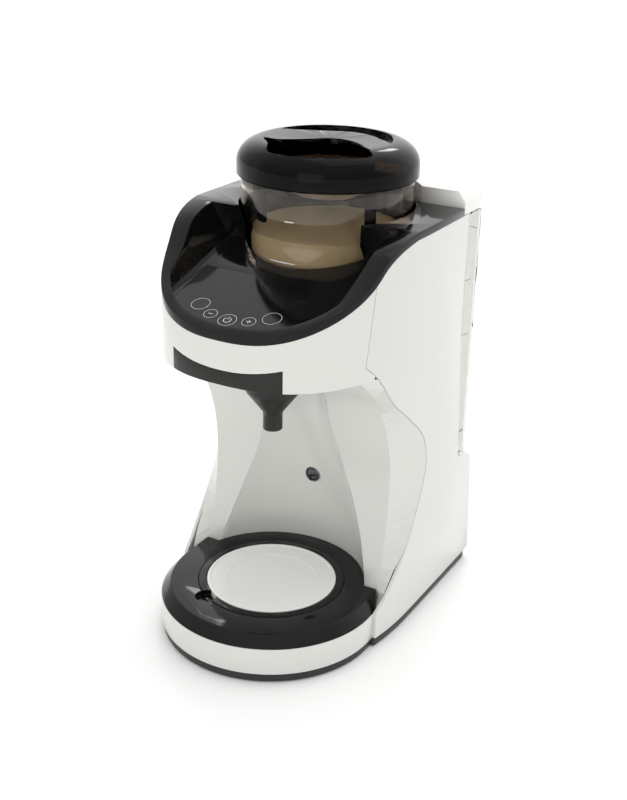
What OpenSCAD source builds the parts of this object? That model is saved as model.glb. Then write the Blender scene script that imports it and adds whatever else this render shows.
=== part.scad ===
// Baby formula maker: powder hopper over a mixing funnel, water tank at the back.
// Millimetres. X right, Y back, Z up. The spout axis is the natural reference of
// the layout; at_axis() puts it where the whole part is centred over the origin.

/* [Body] */
// Width across the side panels
body_w = 210; // [204:1:220]
// Spout axis to the back of the foot
back_y = 198; // [195:1:206]
// Spout axis to the nose of the head
nose_y = 78.5; // [76:0.5:84]
// Height of the white walls under the deck
wall_top_z = 356; // [354:0.5:358]
// Height of the white walls at the nose
nose_top_z = 290.3; // [289:0.1:293]
// Wall of the white mouldings
wall = 3; // [2.4:0.1:3.2]
// Lower edge of the head
head_z = 254.5; // [252:0.5:256]

/* [Base] */
// Radius of the round foot
base_r = 97; // [95:0.5:100]
// Height of the black foot trim
trim_z = 9; // [8:0.5:11]
// Height of the top of the white band
band_z = 33; // [31:0.5:34]
// Height of the black base cover
cover_z = 43; // [42:0.5:44.5]
// Radius of the white platform
platform_r = 56.7; // [50:0.1:60]
// Thickness of the platform
platform_t = 5; // [4:0.5:6]
// Diameter of a rubber foot
foot_d = 18; // [12:1:24]

/* [Bottle bay] */
// Depth of the bay behind the spout axis
bay_y = 48; // [44:0.5:50]
// Height of the deepest point of the bay
bay_mid_z = 135; // [128:1:140]
// Radius of the upper bay curve
bay_upper_r = 141; // [139:1:144]
// Radius of the lower bay curve
bay_lower_r = 259; // [240:1:280]
// Radius of the niche behind the bottle, at its foot
niche_r = 82.5; // [81:0.5:84]
// Height of the bottle sensor
sensor_z = 115; // [100:1:130]
// Diameter of the sensor window
sensor_d = 13; // [10:0.5:16]

/* [Hopper] */
// Radius of the powder hopper
hopper_r = 72.3; // [70:0.1:73.5]
// Radius of the hopper inside its socket
hopper_low_r = 66; // [64:0.5:67]
// Wall of the hopper
hopper_wall = 2.5; // [2:0.1:3]
// Spout axis to the hopper axis
hopper_y = 85.2; // [84:0.2:87]
// Height of the hopper's rim
hopper_top_z = 394; // [391:0.5:397]
// Radius of the hopper lid
lid_r = 76; // [75.5:0.1:78]
// Height of the lid over the hopper's rim
lid_rise = 23; // [20:0.5:25]
// Number of pockets in the dosing wheel
pockets = 8; // [6:1:9]

/* [Funnel] */
// Radius of the spout
spout_r = 8.2; // [7:0.1:9]
// Height of the spout's end
spout_z = 188; // [180:1:190]
// Half width of the funnel drawer
drawer_x = 49.7; // [48.5:0.1:52]
// Radius of the funnel's dish
dish_r = 45; // [42:0.5:46]

/* [Tank] */
// Wall of the water tank
tank_wall = 2.2; // [1.8:0.1:2.6]
// Back of the tank at its rim
tank_back_y = 177; // [175:0.5:180]
// Height of the shelf under the tank
shelf_z = 122.5; // [118:0.5:126]
// Rise of the tank lid
tank_lid_h = 19; // [16:0.5:22]

/* [Hidden] */
$fn = 72;

white = "#f1f1ee";
black = "#17181a";
smoke = "#4a4038";
clear = "#dfe6e8";
metal = "#b9bcc0";

gap = 0.3;                 // air between pieces on different bodies
fit = 0.05;                // radial running fit
eps = 0.01;
half_w = body_w / 2;
axis_y = (base_r - back_y) / 2;
side_y = 74;               // where the nose curve meets the straight sides
nose_n = 2.54;             // squareness of the nose curve
rear_corner_r = 8;
lip_h = 6.5;               // height of the black rim over the white walls
foot_h = 1.5;
floor_z = 4.5;             // inner floor of the base plate
deck_top_z = wall_top_z + lip_h;
deck_end_y = 131.7;

module at_axis() translate([0, axis_y, 0]) children();
module at_hopper() translate([0, axis_y + hopper_y, 0]) children();

// ---- plan outline: a square-shouldered nose on straight sides ----
function nose_pts(i, n = 28) = [for (k = [0:2 * n])
    let (t = 180 + 90 * k / n, c = cos(t), s = abs(sin(t)))
    [(half_w - i) * sign(c) * pow(abs(c), 2 / nose_n),
     side_y - (side_y + nose_y - i) * pow(s, 2 / nose_n)]];
function corner_pts(x, y, r, from) = [for (k = [0:6])
    [x + r * cos(from + 15 * k), y + r * sin(from + 15 * k)]];
module plan(i = 0, rear = back_y, r = rear_corner_r)
    polygon(concat(nose_pts(i),
        corner_pts(half_w - i - r, rear - i - r, r, 0),
        corner_pts(-half_w + i + r, rear - i - r, r, 90)));
module prism(i, z0, z1, rear = back_y)
    translate([0, 0, z0]) linear_extrude(z1 - z0) plan(i, rear);
function nose_x(y) = y >= side_y ? half_w
    : half_w * pow(1 - pow((side_y - y) / (side_y + nose_y), nose_n), 1 / nose_n);

// ---- side profiles, [y, z] ----
function bez(a, b, c, d, n) = [for (k = [0:n]) let (t = k / n, u = 1 - t)
    u * u * u * a + 3 * u * u * t * b + 3 * u * t * t * c + t * t * t * d];
nose_pt = [-nose_y, nose_top_z];
kink_pt = [-4, nose_top_z + 44.2];
shoulder_pt = [45, wall_top_z];
function rim_pts(up = 0) = [for (p = concat(
    bez(nose_pt, nose_pt + [28.5, 15.7], kink_pt - [16, 16.5], kink_pt, 10),
    bez(kink_pt, kink_pt + [10, 11.5], shoulder_pt - [27, 3.5], shoulder_pt, 8)))
    p + [0, up]];
function rim_z(y) = lookup(y, rim_pts());
// outer crease between the side panels and the column, [z, y]
seam_z = 267;
crease_knots = [[cover_z + 1, 22], [70, 46], [100, 66], [130, 80], [150, 84], [175, 76],
    [200, 50], [225, 20], [252, 0], [seam_z, -16]];
function curve(p, n) = [for (k = [0:len(p) - 2], j = [0:n - 1])
    let (t = j / n, a = p[max(k - 1, 0)], b = p[k], c = p[k + 1], d = p[min(k + 2, len(p) - 1)])
    (2 * b + (c - a) * t + (2 * a - 5 * b + 4 * c - d) * t * t
        + (3 * b - a - 3 * c + d) * t * t * t) / 2, p[len(p) - 1]];
crease = concat([[trim_z, 8], [band_z + 1, 8]], curve(crease_knots, 6));
function crease_y(z) = lookup(z, crease);
bay_levels = [trim_z, band_z + 1, cover_z + 1, 52, 61, 70, 80, 90, 100, 110, 120, 130, 139, 148,
    157, 166, 175, 184, 193, 202, 212, 222, 232, 243, head_z - gap];
seam_foot = [-16, seam_z];
seam_head = [-8, nose_top_z + 41.7];
// back of the body: tank seam, shelf, lower block
tank_seam = [[142.3, wall_top_z], [142.3, 250], [151.5, 165], [156, shelf_z]];
block_top = [[172, shelf_z], [184, shelf_z - 6.5], [back_y - 9.5, shelf_z - 16.5]];
block_foot = [back_y - 0.4, trim_z];

module side_extrude(pts, x0, x1)
    translate([x0, 0, 0]) rotate([90, 0, 90]) linear_extrude(x1 - x0) polygon(pts);

module side_region()
    side_extrude(concat([for (z = concat(bay_levels, [258])) [crease_y(z) + gap, z]],
        [seam_foot + [gap, 0], seam_head + [gap, 0]],
        [for (p = rim_pts()) if (p[0] > seam_head[0] + gap) p],
        tank_seam, block_top, [block_foot]), -half_w - 1, half_w + 1);

// ---- bottle bay: an upper and a lower curve, a round niche, two corner bands ----
upper_y = bay_y - bay_upper_r;
lower_y = bay_y - bay_lower_r;
function bay_at(z) = z > bay_mid_z
    ? upper_y + sqrt(pow(bay_upper_r, 2) - pow(z - bay_mid_z, 2))
    : lower_y + sqrt(pow(bay_lower_r, 2) - pow(max(z, cover_z) - bay_mid_z, 2));
bay_top_z = head_z + 2;
band_x = half_w - 17;
far = 130;
niche_pts = [[cover_z, niche_r], [85, niche_r - 5.1], [115, niche_r - 10.8],
    [145, niche_r - 18.4], [160, niche_r - 22.4], [190, 50], [222, 42], [bay_top_z, 36]];
function niche_at(z) = lookup(z, niche_pts);
// how far the column stops short of the crease: where its band lies flat it butts on the panel
band_trim = [[trim_z, 10], [band_z, 10], [cover_z, 5], [52, 4], [61, 3.8], [80, 0.6]];
arc_n = 16;
// half of one level of the column's skin, moved back by t, from the outer edge to the middle
function bay_half(z, t) =
    let (c = bay_at(z), r = niche_at(z), y1 = crease_y(z), b = [nose_x(y1), y1], a = [band_x, c],
         d = (b - a) / norm(b - a), q = [-d[1], d[0]], crease_x = sqrt(pow(r + t, 2) - pow(c + t, 2)),
         a0 = atan2(c + t, crease_x),
         mitre = max(0.7 * t, d[1] > 0.2 ? (q[1] * t - 0.8 * gap) / d[1] : 0))
    concat([b - d * (lookup(z, band_trim) + mitre) + q * t, a + t * (q + [0, 1]) / (1 + q[1])],
        [for (k = [0:arc_n]) let (w = a0 + (90 - a0) * k / arc_n) (r + t) * [cos(w), sin(w)]]);
function bay_ring(z) =
    let (f = bay_half(z, 0), g = bay_half(z, wall), n = len(f),
         front = concat(f, [for (k = [n - 2:-1:0]) [-f[k][0], f[k][1]]]),
         back = concat(g, [for (k = [n - 2:-1:0]) [-g[k][0], g[k][1]]]), m = len(back))
    [for (p = concat(front, [for (k = [m - 1:-1:0]) back[k]])) [p[0], p[1], z]];

// ---- base ----
module pan2d(i) intersection() {
    union() {
        circle(base_r - i, $fn = 120);
        translate([-base_r + i, 0]) square([2 * (base_r - i), bay_y]);
    }
    pan_clip(i);
}
module pan_clip(i) {
    back = bay_at(cover_z) - gap - i;
    union() {
        circle(niche_r - gap - i, $fn = 120);
        polygon([[-far, -far], [far, -far], [far, -far / 2], [half_w - 4 - i, 1 - i],
            [band_x - i, back], [-band_x + i, back], [-half_w + 4 + i, 1 - i], [-far, -far / 2]]);
    }
}
module pan_prism(i, z0, z1) translate([0, 0, z0]) linear_extrude(z1 - z0) pan2d(i);
module foot_plan(i) {
    difference() {
        plan(i + 1, back_y - 0.4);
        translate([-far, -2 * far]) square([2 * far, 2 * far + 8]);
    }
    pan2d(i + 1.5);
}
boss_d = 9;
foot_in = 16;              // base edge to a foot's centre
feet_at = [for (s = [-1, 1]) each [(base_r - foot_in) * [s * cos(40), -sin(40)],
    [s * (half_w - foot_in - 5), back_y - foot_in - 12]]];
screws_at = [for (s = [-1, 1]) each [(base_r - wall - 0.4 * boss_d) * [s * cos(55), -sin(55)],
    [s * 60, back_y - 2 * boss_d]]];
module base_plate() color(black) at_axis() difference() {
    translate([0, 0, foot_h]) linear_extrude(trim_z - foot_h) foot_plan(0);
    translate([0, 0, floor_z]) linear_extrude(trim_z) offset_plan();
    for (p = screws_at) translate([p[0], p[1], 0]) cylinder(h = trim_z, d = 3.4);
}
module offset_plan() {
    difference() {
        plan(8, back_y - 4);
        translate([-far, -2 * far]) square([2 * far, 2 * far + 90]);
    }
    circle(60);
}
module rubber_feet() color("#2a2a2a") at_axis()
    for (p = feet_at) translate([p[0], p[1], 0]) cylinder(h = foot_h, d = foot_d);
module base_screws() color(metal) at_axis() for (p = screws_at)
    translate([p[0], p[1], 0.3]) {
        cylinder(h = foot_h - 0.3, d = 6);
        cylinder(h = trim_z + 3 - 0.3, d = 2.9);
    }
module base_band() color(white) at_axis() difference() {
    union() {
        difference() {
            pan_prism(0, trim_z, band_z);
            pan_prism(wall, trim_z - 1, band_z + 1);
        }
        for (p = screws_at) if (p[1] < 0)
            translate([p[0], p[1], trim_z]) cylinder(h = band_z - trim_z, d = boss_d);
    }
    for (p = screws_at) translate([p[0], p[1], 0]) cylinder(h = trim_z + 8, d = 3);
}
bevel = 8.5;
module cover_solid(i, z0, z1) intersection() {
    union() {
        translate([0, 0, band_z]) cylinder(h = cover_z - band_z, r1 = base_r - i,
            r2 = base_r - bevel - i, $fn = 120);
        rotate([90, 0, 0]) translate([0, 0, -bay_y]) linear_extrude(bay_y)
            polygon([[-base_r + i, band_z], [base_r - i, band_z],
                [base_r - bevel - i, cover_z], [-base_r + bevel + i, cover_z]]);
    }
    translate([0, 0, z0]) linear_extrude(z1 - z0) pan_clip(i);
}
ring_r = 64;
well_z = cover_z - platform_t;
module base_cover() color(black) at_axis() difference() {
    cover_solid(0, band_z, cover_z);
    cover_solid(wall, band_z - 1, well_z - 2);
    translate([0, 0, well_z]) cylinder(h = far, r = ring_r + 0.2, $fn = 120);
    finger_notch(0);
}
module finger_notch(i) translate([-32, -platform_r + 1, well_z + 0.8 - i])
    cylinder(h = far, r = 9 + i);
module tray_ring() color(black) at_axis() difference() {
    translate([0, 0, well_z]) cylinder(h = platform_t + 0.4, r = ring_r, $fn = 120);
    translate([0, 0, -1]) cylinder(h = far, r = platform_r + gap, $fn = 120);
    finger_notch(0);
}
rest_r = 39;
module platform() color(white) at_axis() difference() {
    translate([0, 0, well_z]) cylinder(h = platform_t + 1, r = platform_r, $fn = 120);
    translate([0, 0, cover_z + 0.2]) cylinder(h = far, r = platform_r - 2.5, $fn = 120);
    translate([0, 0, cover_z - 0.4]) cylinder(h = far, r = rest_r);
}

// ---- body shell ----
module side_ring() difference() {
    prism(0, trim_z, wall_top_z, far * 2);
    prism(wall, trim_z - 1, wall_top_z + 1, far * 2);
}
module side_panel(s) intersection() {
    side_ring();
    side_region();
    translate([s > 0 ? 20 : -20 - far, -far, 0]) cube([far, 4 * far, 2 * wall_top_z]);
}
module side_panel_left() color(white) at_axis() side_panel(-1);
module side_panel_right() color(white) at_axis() side_panel(1);

module bay_column() color(white) at_axis() difference() {
    bay_skin();
    translate([0, sensor_y() - 20, sensor_z]) rotate([-90, 0, 0])
        cylinder(h = 40, d = sensor_d + 0.1);
}
module bay_skin() {
    pts = [for (z = bay_levels) each bay_ring(z)];
    n = len(bay_levels);
    m = len(bay_ring(cover_z));
    top = (n - 1) * m;
    polyhedron(pts, concat(
        [for (k = [0:n - 2], j = [0:m - 1]) let (a = k * m + j, b = k * m + (j + 1) % m)
            each [[a, b, a + m], [b, b + m, a + m]]],
        [for (j = [0:m / 2 - 2]) each [[j, m - 1 - j, j + 1], [j + 1, m - 1 - j, m - 2 - j]]],
        [for (j = [0:m / 2 - 2]) each [[top + j, top + j + 1, top + m - 1 - j],
            [top + j + 1, top + m - 2 - j, top + m - 1 - j]]]));
}
function sensor_y() = niche_at(sensor_z);
module sensor_lens() color("#20242c") at_axis() translate([0, sensor_y() - 2, sensor_z])
    rotate([-90, 0, 0]) {
        cylinder(h = 9, d = sensor_d);
        translate([0, 0, 7]) cylinder(h = 2, d = sensor_d + 5);
    }
module sensor_board() color("#2f6b45") at_axis()
    translate([-14, sensor_y() + 7, sensor_z - 11]) cube([28, 1.6, 22]);

// ---- head ----
arch_z = head_z + 12;
arch_r = 200;
module drawer_mouth(i) intersection() {
    translate([-drawer_x - i, -far, head_z - 5]) cube([2 * (drawer_x + i), far, 40]);
    rotate([90, 0, 0]) difference() {
        translate([-far, head_z - 5, 0]) cube([2 * far, 30, far]);
        translate([0, arch_z + arch_r + i, -1]) cylinder(h = far + 2, r = arch_r, $fn = 240);
    }
}
module head_shell() color(white) at_axis() intersection() {
    difference() {
        prism(0, head_z, wall_top_z);
        prism(wall, head_z - 1, wall_top_z + 1);
        drawer_mouth(gap);
    }
    side_extrude(concat([[-nose_y - 5, head_z], [crease_y(head_z + 4) - gap, head_z],
        [crease_y(258) - gap, 258], seam_foot - [gap, 0], seam_head - [gap, 0]],
        [for (k = [len(rim_pts()) - 1:-1:0]) let (p = rim_pts()[k])
            if (p[0] < seam_head[0] - gap) p], [[-nose_y - 5, nose_top_z]]), -far, far);
}
guide_x = drawer_x + gap;
lip_x = drawer_x - 4;
guide_top_z = head_z + 9;
guide_back_y = 52;
module drawer_guide() color("#d8d8d4") at_axis() {
    difference() {
        intersection() {
            prism(wall + gap, head_z, bay_top_z);
            translate([-far, -far, 0]) cube([2 * far, far + guide_back_y + 3, far * 3]);
        }
        translate([-lip_x, -far, 0]) cube([2 * lip_x, far + guide_back_y - 4, 3 * far]);
    }
    intersection() {
        prism(wall + gap, bay_top_z, guide_top_z);
        difference() {
            translate([-guide_x - 2.5, -60, bay_top_z])
                cube([2 * guide_x + 5, 60 + guide_back_y + 3, guide_top_z - bay_top_z]);
            translate([-guide_x, -far, 0]) cube([2 * guide_x, far + guide_back_y, 3 * far]);
        }
    }
}

// ---- deck with its sunken touch panel and hopper socket ----
panel_slope = 16.5;
panel_z0 = nose_top_z + 5.7;
panel_t = 2.5;
panel_w = 64;
recess_w = 73;
panel_back_y = 72;
rim_w = 7;
socket_r = hopper_low_r + 2.5;
socket_top_r = hopper_r + 2.2;
socket_wall = 2.5;
socket_z = 298;
function panel_z(y) = panel_z0 + tan(panel_slope) * (y + nose_y);
module on_slope(x0, x1, z0, z1, y0 = -nose_y - 5, y1 = panel_back_y)
    side_extrude([[y0, panel_z(y0) + z0], [y1, panel_z(y1) + z0],
        [y1, panel_z(y1) + z1], [y0, panel_z(y0) + z1]], x0, x1);
module recess(up) intersection() {
    translate([0, -nose_y, panel_z0]) rotate([panel_slope, 0, 0])
        translate([0, far, 0]) rotate([90, 0, 0]) linear_extrude(far + 10)
        polygon([[-recess_w, up], [recess_w, up], [recess_w + 30, 80], [-recess_w - 30, 80]]);
    prism(rim_w, nose_top_z - 20, 2 * wall_top_z);
    translate([-far, -far, 0]) cube([2 * far, far + panel_back_y, 3 * far]);
}
module deck_cover() color(black) at_axis() difference() {
    union() {
        intersection() {
            prism(0, nose_top_z - 10, wall_top_z + 40, far * 2);
            side_extrude(concat(rim_pts(), [[deck_end_y, wall_top_z], [deck_end_y, deck_top_z]],
                [for (k = [len(rim_pts()) - 1:-1:0]) rim_pts(lip_h)[k]]), -far, far);
        }
        intersection() {
            prism(wall + gap, nose_top_z - 10, wall_top_z + 40);
            side_extrude(concat([[-nose_y, panel_z(-nose_y) - 2 * panel_t],
                [panel_back_y + 3, panel_z(panel_back_y + 3) - 2 * panel_t]],
                [[panel_back_y + 3, rim_z(panel_back_y + 3) + 1]],
                [for (k = [len(rim_pts()) - 1:-1:0]) let (p = rim_pts()[k])
                    if (p[0] < panel_back_y + 3) p + [0, 1]]), -far, far);
        }
        difference() {
            translate([0, hopper_y, socket_z])
                cylinder(h = deck_top_z - socket_z, r = socket_top_r + socket_wall, $fn = 120);
            recess(3);
        }
    }
    recess(0);
    intersection() {
        on_slope(-panel_w, panel_w, -panel_t, 1, -nose_y, 0);
        prism(rim_w, nose_top_z - 20, wall_top_z);
    }
    translate([0, hopper_y, 0]) {
        cylinder(h = 3 * far, r = socket_r, $fn = 120);
        translate([0, 0, wall_top_z - 12]) cylinder(h = 14 + lip_h, r1 = socket_r,
            r2 = socket_top_r + 0.6, $fn = 120);
    }
}

module control_panel() color("#101113") at_axis() intersection() {
    on_slope(-panel_w + gap, panel_w - gap, -panel_t, 0, -nose_y, -gap);
    prism(rim_w + gap, nose_top_z - 20, wall_top_z);
}
module display_board() color("#2f6b45") at_axis()
    on_slope(-32, 32, -2 * panel_t - 1.6, -2 * panel_t, -62, -24);
chute_r = 11;
pocket_ring_r = 50;
shaft_r = 5;
bush_r = 8;
module outlet_at() translate([0, -pocket_ring_r, 0]) children();
module socket_plate() color(black) at_hopper() difference() {
    translate([0, 0, socket_z - 3]) cylinder(h = 3, r = socket_top_r + socket_wall, $fn = 120);
    translate([0, 0, socket_z - 5]) cylinder(h = 10, r = bush_r + fit);
    outlet_at() translate([0, 0, socket_z - 5]) cylinder(h = 10, r = chute_r);
}
module gear_bush() color("#d9c27a") at_hopper() difference() {
    union() {
        translate([0, 0, socket_z - 3]) cylinder(h = 3, r = bush_r);
        translate([0, 0, socket_z - 5]) cylinder(h = 2, r = bush_r + 3);
    }
    translate([0, 0, socket_z - 8]) cylinder(h = 12, r = shaft_r + fit);
}
module powder_chute() color("#3a3a3c") at_hopper() outlet_at() difference() {
    translate([0, 0, head_z + 12.5]) cylinder(h = socket_z - 15.5 - head_z, r = chute_r + 2);
    translate([0, 0, head_z]) cylinder(h = far, r = chute_r);
}

// ---- chassis and what it carries ----
chassis_y = 125;
chassis_t = 3;
shelf_top_z = 281;
gear_teeth = 42;
pinion_teeth = 14;
gear_m = 4 / 3;
gear_dist = gear_m * (gear_teeth + pinion_teeth) / 2 + 0.2;
motor_r = 18;
window = [-27, -3, 24, 46];
module chassis() color("#c9ccce") at_axis() difference() {
    union() {
        translate([-80, chassis_y, floor_z])
            cube([160, chassis_t, socket_z - 3 - floor_z]);
        translate([-gear_dist - 20, hopper_y - 20, shelf_top_z - 3])
            cube([40, chassis_y + chassis_t - hopper_y + 20, 3]);
        translate([-80, chassis_y - 12, floor_z]) cube([160, 12, 3]);
    }
    translate([-gear_dist, hopper_y, shelf_top_z - 5]) cylinder(h = 10, r = 6);
    translate([window[0], chassis_y - 1, window[2]])
        cube([window[1] - window[0], chassis_t + 2, window[3] - window[2]]);
}
module gear_motor() color(metal) at_axis() translate([-gear_dist, hopper_y, 0]) {
    translate([0, 0, shelf_top_z - 3 - 40]) cylinder(h = 40, r = motor_r);
    translate([0, 0, shelf_top_z - 3]) cylinder(h = 3, r = 5.5);
    translate([0, 0, shelf_top_z]) cylinder(h = 8, r = 2.5);
}
function tooth_pts(n, m, turn) = [for (k = [0:n - 1]) let (a = 360 / n, r = n * m / 2)
    each [for (q = [[-0.32, -1.2], [-0.13, 0.85], [0.13, 0.85], [0.32, -1.2]])
        (r + q[1] * m) * [cos(a * (k + q[0]) + turn), sin(a * (k + q[0]) + turn)]]];
gear_z = shelf_top_z + 3;
gear_h = 6;
module motor_pinion() color("#e8e4da") at_axis() translate([-gear_dist, hopper_y, gear_z - 1])
    difference() {
        linear_extrude(gear_h + 1) polygon(tooth_pts(pinion_teeth, gear_m, 180 / pinion_teeth));
        translate([0, 0, -1]) cylinder(h = far, r = 2.5 + fit);
    }
dog_w = 5;
module drive_gear() color("#e8e4da") at_hopper() {
    translate([0, 0, gear_z]) linear_extrude(gear_h)
        polygon(tooth_pts(gear_teeth, gear_m, 0));
    translate([0, 0, gear_z + gear_h]) cylinder(h = socket_z + 1 - gear_z - gear_h, r = shaft_r);
    translate([-shaft_r + 0.8, -dog_w / 2, socket_z + 1 - eps]) cube([2 * shaft_r - 1.6, dog_w, 8]);
}
heater_at = [62, 98];
heater_z = [62, 162];
heater_r = 18;
module heater() color("#c8c4bc") at_axis() translate([heater_at[0], heater_at[1], heater_z[0]]) {
    cylinder(h = heater_z[1] - heater_z[0], r = heater_r);
    translate([0, 0, -6]) cylinder(h = 6, r = 3);
    translate([0, 0, heater_z[1] - heater_z[0]]) cylinder(h = 6, r = 3);
}
module heater_clamp() color(metal) at_axis() for (z = [heater_z[0] + 12, heater_z[1] - 24])
    translate([heater_at[0], heater_at[1], z]) difference() {
        union() {
            cylinder(h = 12, r = heater_r + 3);
            translate([-10, 0, 0]) cube([20, chassis_y - heater_at[1], 12]);
        }
        translate([0, 0, -1]) cylinder(h = 14, r = heater_r + fit);
    }
pump_at = [-50, 157, 36];
pump_r = 17;
module water_pump() color("#2b2e33") at_axis() translate(pump_at) {
    translate([-25, 0, 0]) rotate([0, 90, 0]) cylinder(h = 50, r = pump_r);
    translate([25, -12, -12]) cube([20, 24, 24]);
    translate([35, 0, 12]) cylinder(h = 12, r = 3);
    translate([35, -12, 0]) rotate([90, 0, 0]) cylinder(h = 6, r = 3);
}
module pump_clamp() color(metal) at_axis() for (x = [-16, 10])
    translate([pump_at[0] + x, pump_at[1], 0]) difference() {
        translate([0, -14, floor_z]) cube([8, 28, pump_at[2] - floor_z - 6]);
        translate([-1, 0, pump_at[2]]) rotate([0, 90, 0]) cylinder(h = 10, r = pump_r + fit);
    }
module sweep(pts, r) {
    for (k = [0:len(pts) - 2]) let (d = pts[k + 1] - pts[k])
        translate(pts[k]) rotate([0, acos(d[2] / norm(d)), atan2(d[1], d[0])])
            cylinder(h = norm(d), r = r, $fn = 14);
    for (k = [1:len(pts) - 2]) translate(pts[k]) sphere(r = r, $fn = 14);
}
module tube(pts) color("#e9e6df") at_axis() difference() {
    sweep(pts, 5);
    sweep(concat([pts[0] * 1.001 - 0.001 * pts[1]], [for (k = [1:len(pts) - 1]) pts[k]]), 3 + fit);
}
valve_at = [60, 163.5];
seat_low_z = shelf_z - 12;
module suction_tube() tube([[valve_at[0], valve_at[1], seat_low_z], [valve_at[0], valve_at[1], 76],
    [pump_at[0] + 35, pump_at[1], 76], [pump_at[0] + 35, pump_at[1], pump_at[2] + 14]]);
module pressure_tube() tube([[pump_at[0] + 35, pump_at[1] - 14, pump_at[2]],
    [pump_at[0] + 35, heater_at[1] + 10, pump_at[2]], [heater_at[0], heater_at[1], pump_at[2]],
    [heater_at[0], heater_at[1], heater_z[0] - 1]]);
nozzle_x = 24;
nozzle_z = head_z + 18.5;
module outlet_tube() tube([[heater_at[0], heater_at[1], heater_z[1] + 1],
    [heater_at[0], heater_at[1], 240], [heater_at[0] + 2, 60, nozzle_z],
    [heater_at[0] + 2, 0, nozzle_z], [nozzle_x + 7, 0, nozzle_z]]);
module water_nozzle() color("#d8d8d4") at_axis() {
    difference() {
        union() {
            translate([nozzle_x, 0, head_z + 12.5]) cylinder(h = 12, r = 5);
            translate([nozzle_x, 0, nozzle_z]) rotate([0, 90, 0]) cylinder(h = 12, r = 3);
            translate([nozzle_x - 6, -8, head_z + 24.5]) cube([guide_x + 8.5 - nozzle_x, 24, 2.5]);
            translate([guide_x, 7, guide_top_z]) cube([2.5, 9, head_z + 24.5 - guide_top_z]);
        }
        translate([nozzle_x, 0, head_z]) cylinder(h = 20, r = 2);
    }
}
module main_board() color("#2f6b45") at_axis()
    translate([-30, chassis_y - 1.6, 175]) cube([70, 1.6, 90]);

// ---- back ----
module rear_cover() color(white) at_axis() difference() {
    union() {
        side_extrude([block_foot, block_top[2], block_top[2] - [wall, 0], block_foot - [wall, 0]],
            -half_w + wall + gap, half_w - wall - gap);
        for (p = screws_at) if (p[1] > 0) translate([p[0], p[1], trim_z]) {
            cylinder(h = 14, d = boss_d);
            translate([-2, 0, 0]) cube([4, block_foot[0] - 1 - p[1], 14]);
        }
    }
    for (p = screws_at) translate([p[0], p[1], 0]) cylinder(h = trim_z + 8, d = 3);
    translate([inlet_at[0] - 15.1, 100, inlet_at[1] - 11.1]) cube([30.2, 200, 22.2]);
}
inlet_at = [-62, 92];
module power_inlet() color("#222326") at_axis() difference() {
    translate([inlet_at[0] - 15, back_y - 26, inlet_at[1] - 11]) cube([30, 17, 22]);
    translate([inlet_at[0] - 9, back_y - 20, inlet_at[1] - 5]) cube([18, 20, 10]);
}
bay_wall_r = socket_top_r + socket_wall + gap;
tank_bite_r = bay_wall_r + 2.5 + gap;
sheet_t = 2.8;
module tank_bay() color(white) at_axis() difference() {
    union() {
        side_extrude(concat([for (p = tank_seam) p - [gap, 0]], block_top,
            [block_top[2] - [wall, 0], block_top[1] - [2, sheet_t], block_top[0] - [1, sheet_t]],
            [for (k = [3:-1:0]) tank_seam[k] - [gap + sheet_t, k == 3 ? sheet_t : 0]]),
            -half_w + wall + gap, half_w - wall - gap);
        intersection() {
            translate([0, hopper_y, shelf_z]) cylinder(h = wall_top_z - shelf_z,
                r = bay_wall_r + 2.5, $fn = 120);
            translate([-far, 140, 0]) cube([2 * far, far, 3 * far]);
        }
    }
    translate([0, hopper_y, shelf_z]) cylinder(h = far * 3, r = bay_wall_r, $fn = 120);
    translate([valve_at[0], valve_at[1], shelf_z - 20]) cylinder(h = 40, r = 10);
}
module valve_seat() color("#c9ccce") at_axis() translate([valve_at[0], valve_at[1], 0]) {
    difference() {
        union() {
            translate([0, 0, shelf_z - sheet_t - 8]) cylinder(h = sheet_t + 8, r = 10 - fit);
            translate([0, 0, seat_low_z - 8]) cylinder(h = 9.4, r = 3);
        }
        translate([0, 0, shelf_z - 8]) cylinder(h = 20, r = 7.6);
        translate([0, 0, seat_low_z - 10]) cylinder(h = 20, r = 2);
    }
    for (k = [0:2]) rotate(120 * k) translate([2.5, -0.8, shelf_z - 8]) cube([4.8, 1.6, 1.5]);
    translate([0, 0, shelf_z - 8]) difference() {
        cylinder(h = 3, r = 3.2);
        translate([0, 0, -1]) cylinder(h = 9, r = 1.6);
    }
}
tank_gap = 0.5;
tank_bottom_z = shelf_z + gap;
tank_top_z = wall_top_z - 1;
lid_z = wall_top_z + 1;
module tank_side(i, top) side_extrude(concat(
    [[tank_back_y - 6.2 - i, tank_bottom_z + i], [tank_back_y - 2.5 - i, 242],
     [tank_back_y - i, top]],
    [for (p = tank_seam) [p[0] + tank_gap + i, p[1] > 300 ? top : max(p[1], tank_bottom_z + i)]]),
    -far, far);
module tank_solid(i, top) difference() {
    intersection() {
        tank_side(i, top);
        prism(0.2 + i, shelf_z, 2 * wall_top_z, tank_back_y + 0.2);
    }
    translate([0, hopper_y, 0]) cylinder(h = 3 * far, r = tank_bite_r + i, $fn = 120);
}
hinge_y = tank_back_y - 3.5;
hinge_z = lid_z + 3;
hinge_x = [-78, 78];
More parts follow.
